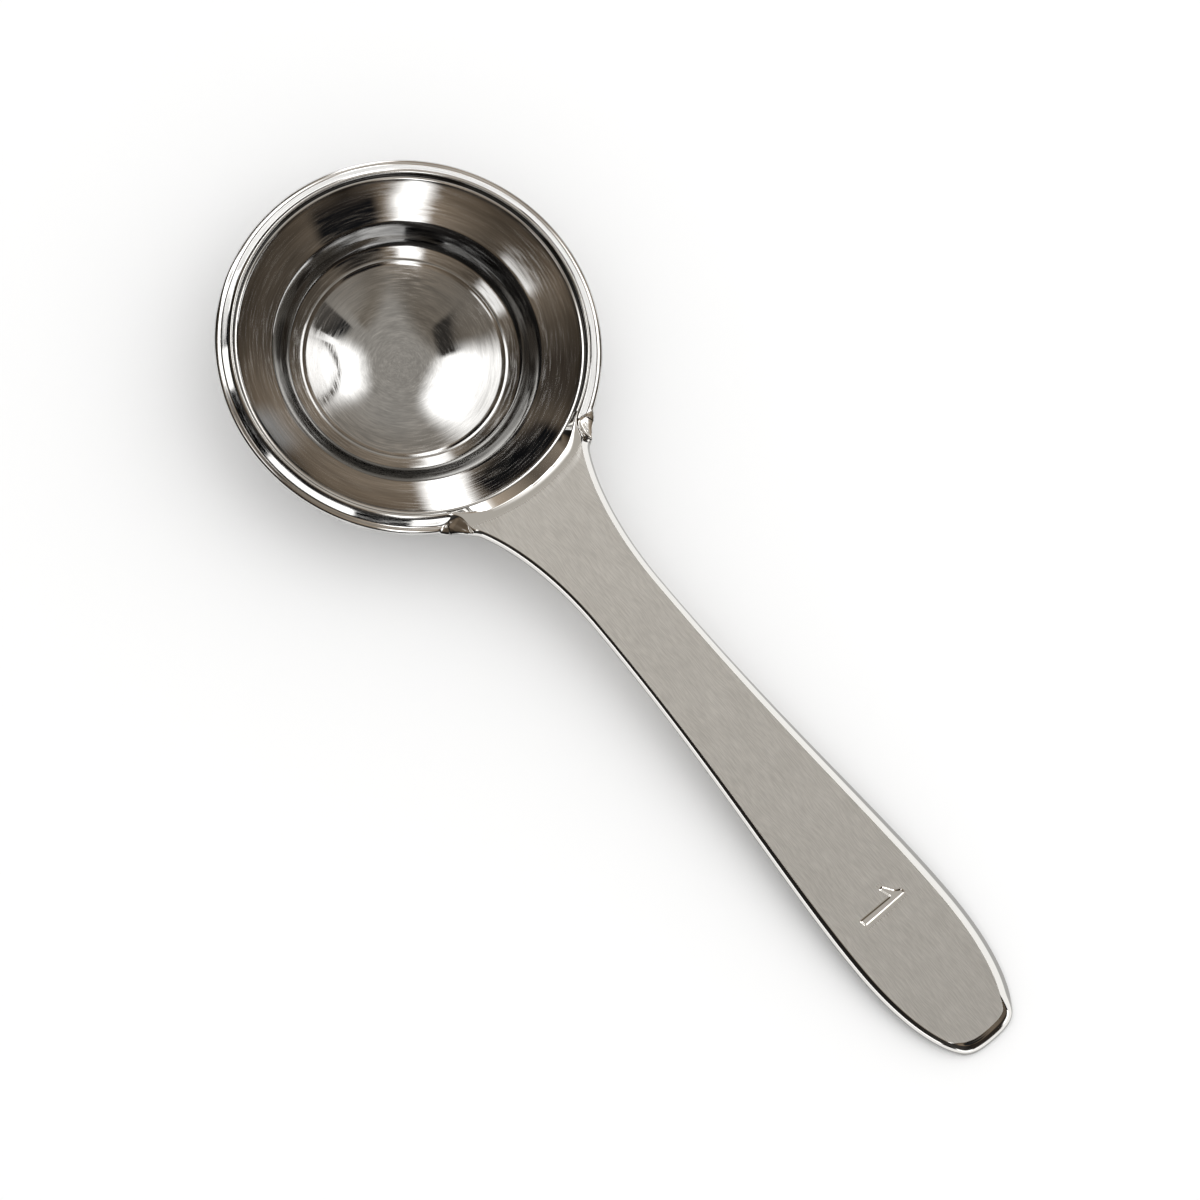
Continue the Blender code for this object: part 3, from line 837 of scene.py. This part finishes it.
def engrave(data):
    buffed = data.attributes["polish"].data
    for i, point in enumerate(data.vertices):
        x, y, z = point.co
        if FIGURE_START - 0.2 < x < FIGURE_END + 0.3 and abs(y) < 5.0 and z > 0:
            distance = outline_distance(FIGURE, x, y)
            ahead = (outline_distance(FIGURE, x + STEP_ASIDE, y) - distance) / STEP_ASIDE
            wall = mix(STEEP_WALL, GENTLE_WALL, smooth(0.5 + ahead))
            point.co.z -= FIGURE_DEPTH * min(max(0.5 - distance / wall, 0.0), 1.0)
            buffed[i].value = smooth((0.34 - distance) / 0.12)


# %% [markdown]
# ## The two notches
# Where the rim ends and the handle begins, the sheet was pinched: a small three-sided dimple with
# a low ridge beside it, and an edge that bulges out a little. Bowl and handle meet in it, so both
# meshes are pressed by the same rule.

# %% The notches where the rim meets the handle
# One notch seen from above, on the +Y side; the other is its mirror image.
RIDGE = [(24.2, 12.6), (25.1, 12.4), (26.0, 12.0), (27.5, 11.75), (28.9, 11.9), (30.2, 11.7)]
DIMPLE = [(25.4, 12.5), (26.0, 12.05), (27.5, 11.75), (28.4, 11.85), (29.1, 12.0), (29.7, 12.8),
          (29.6, 14.6), (28.0, 17.0), (25.8, 17.0), (25.5, 15.0), (25.3, 13.6)]
DIMPLE_EDGE = 0.5
RIDGE_HEIGHT, FAR_FALL, NEAR_FALL = 1.0, 0.42, 0.6
BULGE = 0.5
# Ranges of x and of y, on either side, that the bulge and the dimple lie within.
BULGE_RANGE = (20, 33), (8, 18)
DIMPLE_RANGE = (23.5, 30.6), (11.2, 17)
# The ray that looks for the top starts this much nearer the axis, so it can't miss an edge.
JUST_INSIDE = 0.9985


def in_range(point, ranges):
    (x_low, x_high), (y_low, y_high) = ranges
    return x_low < point.x < x_high and y_low < abs(point.y) < y_high


def bulge(point):
    """Push the outer edge out beside the notch."""
    radius, angle = hypot(point.x, point.y), abs(atan2(point.y, point.x)) * 180 / pi
    push = BULGE * smooth((32 - angle) / 3.5) * smooth((angle - 20) / 4)
    push *= smooth((radius - 28.6) / 1.3) * smooth((33.0 - radius) / 1.5)
    return Vector((point.x * (1 + push / max(radius, 1.0)), point.y * (1 + push / max(radius, 1.0)),
                   point.z))


def dimple_floor(x, y, fall):
    return RIDGE_HEIGHT - fall * line_distance(RIDGE, x, y)


def press_notches(pieces):
    """Bulge the edge, then press the dimples into the top, alike on every piece."""
    for data in pieces:
        for point in data.vertices:
            if in_range(point.co, BULGE_RANGE):
                point.co = bulge(point.co)
    top = []
    for data in pieces:
        mesh = bmesh.new()
        mesh.from_mesh(data)
        top.append(BVHTree.FromBMesh(mesh))
        mesh.free()
    for data in pieces:
        for point in data.vertices:
            x, y = point.co.x, abs(point.co.y)
            if not in_range(point.co, DIMPLE_RANGE):
                continue
            pressed = smooth(0.5 - outline_distance(DIMPLE, x, y) / DIMPLE_EDGE)
            above = Vector((x * JUST_INSIDE, point.co.y * JUST_INSIDE, 9))
            hits = [tree.ray_cast(above, Vector((0, 0, -1)))[0] for tree in top]
            heights = [hit.z for hit in hits if hit]
            if pressed and heights:
                fall = FAR_FALL if point.co.y > 0 else NEAR_FALL
                point.co.z += pressed * (dimple_floor(x, y, fall) - max(heights))


handle = new_piece("spoon_handle", handle_sheet(), satin)
handle_data = thicken(handle, HANDLE_SHEET)
engrave(handle_data)
press_notches((bowl_data, handle_data))
print("handle sheet:", len(handle_data.polygons), "faces")


# %% [markdown]
# ## Both pieces take their places
# The finished meshes move to the resting pose. The bowl stands in for the solid bowl and the
# handle for the solid shell, and both belong to the one rigid body.

# %% Both pieces take their places
def keep_inside(data):
    """Bring the outermost points in by a few thousandths of a millimetre, to the solid's box."""
    low, high = (Vector(corner) for corner in cad_box)
    for point in data.vertices:
        point.co = [min(max(v, a), b) for v, a, b in zip(point.co, low, high)]


for piece, node, finish in ((bowl, "bowl", "polished_stainless"),
                            (handle, "handle_shell", "brushed_stainless")):
    stand(piece.data)
    keep_inside(piece.data)
    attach(piece, "root")
    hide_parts(node)
    print(piece.name, len(piece.data.polygons), "faces")


# %% [markdown]
# ## Underneath: rolled sheet and dressed welds
# The back plate is bare sheet as it came from the mill: long faint lines and cloudy patches, which
# tell the eye that no one polished it. The welds were ground flush, so they are duller, with a
# slight ripple, and a little darker where the heat went.

# %% Underside: rolled sheet and dressed welds
MILL_GREY, WELD_GREY = "#b9b4ac", "#aaa49b"


def rolled_steel():
    material, tree, shader, own = steel("rolled_stainless", MILL_GREY)
    grain = noise(tree, vector(tree, "MULTIPLY", own, (0.12, 3.0, 0.5)), 4.0, 0.6)
    cloud = noise(tree, vector(tree, "MULTIPLY", own, (0.09, 0.12, 0.1)), 3.0, 0.55)
    tint(tree, shader, MILL_GREY, spread(tree, cloud, 0.3, 0.7, 0.9, 1.05))
    tree.links.new(spread(tree, grain, 0.3, 0.7, 0.28, 0.46), shader.inputs["Roughness"])
    tree.links.new(bump(tree, grain, 0.00001), shader.inputs["Normal"])
    return material


def weld_steel():
    material, tree, shader, own = steel("dressed_weld", WELD_GREY)
    ripple = noise(tree, vector(tree, "MULTIPLY", own, (1.1, 1.1, 1.1)), 3.0, 0.6)
    heat = noise(tree, vector(tree, "MULTIPLY", own, (0.35, 0.35, 0.35)), 2.0)
    tint(tree, shader, WELD_GREY, spread(tree, heat, 0.35, 0.65, 0.78, 1.04))
    tree.links.new(spread(tree, ripple, 0.3, 0.7, 0.3, 0.55), shader.inputs["Roughness"])
    tree.links.new(bump(tree, ripple, 0.00005), shader.inputs["Normal"])
    return material


def dress_solids():
    rolled, weld = rolled_steel(), weld_steel()
    for name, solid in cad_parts.items():
        if name in ("bowl", "handle_shell"):
            continue
        finish = rolled if name == "handle_back_plate" else weld
        for place in solid.material_slots:
            place.material = finish
        print(name, "is", finish.name, "in", len(solid.material_slots), "slots")


dress_solids()


# %% [markdown]
# ## Camera
# A long lens looks down on the spoon, about 17 degrees off the bowl's axis. It was placed by
# matching the outlines of the bowl and the handle to the photograph. The place and the three
# ways (right, down and ahead in the picture) are in the spoon's own frame.

# %% Camera
FOCAL_PIXELS, PICTURE_PIXELS, SENSOR = 4250, 1200, 36.0
CAMERA_PLACE = Vector((97.371, -181.286, 619.725))


def spoon_camera():
    data = bpy.data.cameras.new("camera")
    data.sensor_width = SENSOR
    data.lens = FOCAL_PIXELS / PICTURE_PIXELS * SENSOR
    camera = bpy.data.objects.new("camera", data)
    bpy.context.scene.collection.objects.link(camera)
    right = Vector((0.6407879, 0.7496774, 0.1654529))
    down = Vector((0.7640583, -0.6017294, -0.2326728))
    ahead = Vector((-0.0748716, 0.2755095, -0.9583782))
    turn = Matrix((right, -down, -ahead)).transposed().to_4x4()
    place = Matrix.Translation(CAMERA_PLACE * MM) @ turn
    rest = Matrix.Translation(SPOT * MM) @ Matrix.Rotation(TILT, 4, "Y")
    camera.matrix_world = rest @ place
    bpy.context.scene.camera = camera
    return camera


camera = spoon_camera()
print("camera at", [round(v, 3) for v in camera.matrix_world.translation])


# %% [markdown]
# ## Floor
# A plain sheet of matt white paper. It belongs to the stage and not to the spoon.

# %% Floor
FLOOR_REACH = 3.0
PAPER = (0.9, 0.9, 0.9, 1.0)


def floor_piece():
    mesh = bmesh.new()
    bmesh.ops.create_grid(mesh, x_segments=1, y_segments=1, size=FLOOR_REACH)
    data = bpy.data.meshes.new("floor")
    mesh.to_mesh(data)
    mesh.free()
    material = bpy.data.materials.new("white_paper")
    material.use_nodes = True
    shader = material.node_tree.nodes["Principled BSDF"]
    shader.inputs["Base Color"].default_value = PAPER
    shader.inputs["Roughness"].default_value = 0.9
    floor = new_piece("floor", data, material)


floor_piece()


# %% [markdown]
# ## The room in the steel
# Polished steel shows nothing but its surroundings, so the studio is what gives it its look. The
# room is drawn as a map seen from the spoon: overhead is the middle, each step out is a degree
# lower, and the edge of the map is the horizon. Soft bright cards and dark walls lie on that map.

# %% Cards: centre, half size, turn, softness (all in degrees), colour, strength
WHITE = "#ffffff"
ROOM_CENTRE, ROOF_RADIUS = (-4.0, 16.0), 46.0
ROOF = [
    ((0, 16), (46, 46), 0, 40, "#b2aea8", 1.0),
    ((0, -22), (44, 9), 6, 12, "#837b71", 1.0),
    ((-36.2, -0.1), (10, 25), 26.5, 14, WHITE, 2.6),
    ((16, 55.5), (18, 13), -30, 16, WHITE, 3.0),
    ((13.1, 52.6), (24, 0.8), -30, 1.5, "#5f5a55", 1.0),
    ((-8, -20), (12, 4), -20, 4, "#3f3c39", 1.0),
    ((34, 35), (2.5, 7), 20, 2, "#26282c", 1.0),
    ((29, 42.5), (1.0, 2.0), 35, 1, WHITE, 2.5),
    ((37, 8), (3, 14), 10, 6, "#8b8378", 1.0),
]
ROOM = [
    ((50.6, 3.4), (5.5, 14), -13, 6, "#1b1c1e", 1.0),
    ((76, 14), (10, 22), 0, 8, "#2c2723", 1.0),
    ((-62, 16), (5.5, 18), 0, 6, "#17181a", 1.0),
    ((42.4, -24), (8.5, 5.5), -78, 8, WHITE, 2.8),
    ((34.7, -19.5), (3.5, 5.5), -42.5, 5, WHITE, 2.8),
    ((-51.3, 37.5), (3, 6), 155.5, 5, WHITE, 2.4),
    ((-7.6, -35.9), (2.6, 9.0), 266, 6, WHITE, 2.0),
    ((-64.0, 48.0), (15, 7.5), 152, 7, WHITE, 2.8),
    ((-5, 79), (5, 8), 90, 9, WHITE, 0.45),
]
# How light the room's walls are, going round it: azimuth, brightness.
WALLS = ((0, 2.6), (15, 1.5), (30, 1.5), (45, 1.25), (60, 1.75), (75, 3.3), (90, 4.5), (105, 3.4),
         (120, 4.0), (135, 4.5), (165, 5.0), (180, 1.2), (195, 2.8), (210, 1.0), (225, 0.9),
         (240, 1.75), (255, 3.5), (270, 2.1), (285, 1.85), (300, 3.7), (315, 6.0), (330, 4.5),
         (345, 0.8), (360, 3.0))
LIGHTEST = 6.0
# Dark strips just above the horizon: azimuth, half width along the horizon.
STRIPS = [(-149, 9), (-112, 22), (-44, 18), (68, 9), (97, 16)]
STRIP_FALL, STRIP_HALF_HEIGHT = 86.0, 6.5
for azimuth, half in STRIPS:
    spot = slope(azimuth) * STRIP_FALL
    ROOM.append((tuple(spot), (STRIP_HALF_HEIGHT, half), azimuth, 3.0, "#0c0c0c", 1.0))
print("cards:", len(ROOF), "overhead and", len(ROOM), "around")


# %% [markdown]
# ## Drawing the room
# One group of nodes draws the soft mask of any card, and the room is one card laid over another.
# The roof and the walls have their own base colours. The camera and the paper see plain white
# instead, since only the steel needs the room.

# %% The room's nodes
PLAIN_LIGHT = (0.985, 0.982, 0.977, 1.0)
HORIZON_GLOW = (1.6, 1.6, 1.6, 1.0)


def card_group():
    tree = bpy.data.node_groups.new("card", "ShaderNodeTree")
    side = tree.interface
    for name, kind in (("Map", "Vector"), ("Centre", "Vector"), ("Half size", "Vector"),
                       ("Turn", "Float"), ("Softness", "Float")):
        side.new_socket(name, in_out="INPUT", socket_type="NodeSocket" + kind)
    side.new_socket("Mask", in_out="OUTPUT", socket_type="NodeSocketFloat")
    given = add(tree, "NodeGroupInput").outputs
    offset = vector(tree, "SUBTRACT", given["Map"], given["Centre"])
    turned = add(tree, "ShaderNodeVectorRotate", {"Vector": offset, "Angle": given["Turn"]},
                 rotation_type="Z_AXIS", invert=True).outputs[0]
    past = vector(tree, "SUBTRACT", vector(tree, "ABSOLUTE", turned), given["Half size"])
    half = maths(tree, "MULTIPLY", given["Softness"], 0.5)
    edges = [add(tree, "ShaderNodeMapRange",
                 {"Value": split(tree, past)[i], "From Min": half, "To Min": 0.0, "To Max": 1.0,
                  "From Max": maths(tree, "MULTIPLY", half, -1.0)},
                 interpolation_type="SMOOTHSTEP").outputs[0] for i in (0, 1)]
    add(tree, "NodeGroupOutput", {0: maths(tree, "MULTIPLY", *edges)})
    return tree


def blend(tree, share, under, over):
    """One colour laid over another, as far as the share says."""
    return add(tree, "ShaderNodeMix", {0: share, 6: under, 7: over}, data_type="RGBA").outputs[2]


def lay_cards(tree, where, colour, cards):
    group = bpy.data.node_groups["card"]
    for centre, half, turn, soft, code, strength in cards:
        mask = add(tree, "ShaderNodeGroup", node_tree=group)
        tree.links.new(where, mask.inputs["Map"])
        mask.inputs["Centre"].default_value = (*centre, 0.0)
        mask.inputs["Half size"].default_value = (*half, 0.0)
        mask.inputs["Turn"].default_value = radians(turn)
        mask.inputs["Softness"].default_value = soft
        card = (*(v * strength for v in linear(code)), 1.0)
        colour = blend(tree, mask.outputs[0], colour, card)
    return colour


def ramp(tree, value, *stops):
    node = add(tree, "ShaderNodeValToRGB", {0: value})
    marks = node.color_ramp.elements
    for i, (place, code) in enumerate(stops):
        mark = marks[i] if i < 2 else marks.new(place)
        mark.position, mark.color = place, (*linear(code), 1.0)
    return node.outputs[0]


def studio():
    world = bpy.data.worlds.new("studio")
    world.use_nodes = True
    tree = world.node_tree
    card_group()
    way = vector(tree, "NORMALIZE", add(tree, "ShaderNodeTexCoord").outputs["Generated"])
    x, y, z = split(tree, way)
    fall = maths(tree, "MULTIPLY", maths(tree, "ARCCOSINE", z), 180 / pi)
    flat = vector(tree, "NORMALIZE", join(tree, x, y, 0.0))
    where = vector(tree, "MULTIPLY", flat, join(tree, fall, fall, 0.0))
    out = add(tree, "ShaderNodeVectorMath", {0: where, 1: (*ROOM_CENTRE, 0.0)},
              operation="DISTANCE").outputs["Value"]
    share = maths(tree, "DIVIDE", out, 100.0)
    roof = ramp(tree, share, (0.0, "#b2aea8"), (0.46, "#b0a9a1"))
    roof = lay_cards(tree, where, roof, ROOF)
    roof = blend(tree, spread(tree, out, 41.0, 45.0, 0.0, 0.6), roof, (*linear("#8b847b"), 1.0))
    room = ramp(tree, share, (0.46, "#5a534b"), (0.7, "#151413"), (0.52, "#4a433b"),
                (0.565, "#4f473e"), (0.65, "#3d352c"))
    aside = split(tree, vector(tree, "SUBTRACT", where, (*ROOM_CENTRE, 0.0)))
    turn = maths(tree, "DIVIDE", maths(tree, "ARCTAN2", aside[1], aside[0]), 2 * pi)
    turn = maths(tree, "FRACT", maths(tree, "ADD", turn, 1.0))
    light = add(tree, "ShaderNodeFloatCurve", {"Value": turn})
    marks = light.mapping.curves[0].points
    for i, (azimuth, brightness) in enumerate(WALLS):
        spot = azimuth / 360, brightness / LIGHTEST
        if i < 2:
            marks[i].location = spot
        else:
            marks.new(*spot)
    for mark in marks:
        mark.handle_type = "VECTOR"
    light.mapping.update()
    level = maths(tree, "MULTIPLY", light.outputs[0], LIGHTEST)
    room = add(tree, "ShaderNodeVectorMath", {0: room, "Scale": level}, operation="SCALE").outputs[0]
    glow = maths(tree, "MULTIPLY", spread(tree, fall, 80.0, 84.0), spread(tree, out, 69.0, 74.0))
    room = blend(tree, glow, room, HORIZON_GLOW)
    room = lay_cards(tree, where, room, ROOM)
    edge = spread(tree, out, ROOF_RADIUS - 0.7, ROOF_RADIUS + 0.7)
    colour = blend(tree, edge, roof, room)
    path = add(tree, "ShaderNodeLightPath").outputs
    plain = maths(tree, "MAXIMUM", path["Is Camera Ray"], path["Is Diffuse Ray"])
    colour = blend(tree, plain, colour, PLAIN_LIGHT)
    tree.links.new(colour, tree.nodes["Background"].inputs[0])
    bpy.context.scene.world = world
    bpy.context.scene.view_settings.view_transform = "Standard"


studio()


# %% [markdown]
# ## The lamp over the floor
# One large soft lamp gives the spoon its shadow. The steel doesn't see it, since the cards are
# its highlights.

# %% The lamp over the floor
LAMP_SIZE, LAMP_WATTS, LAMP_PLACE = 2.2, 7.5, (0.25, 1.0, 1.25)


def softbox():
    data = bpy.data.lights.new("softbox", "AREA")
    data.shape = "SQUARE"
    data.size, data.energy = LAMP_SIZE, LAMP_WATTS
    lamp = bpy.data.objects.new("softbox", data)
    bpy.context.scene.collection.objects.link(lamp)
    lamp.location = LAMP_PLACE
    lamp.rotation_euler = (-lamp.location).to_track_quat("-Z", "Y").to_euler()
    lamp.visible_glossy = False


softbox()
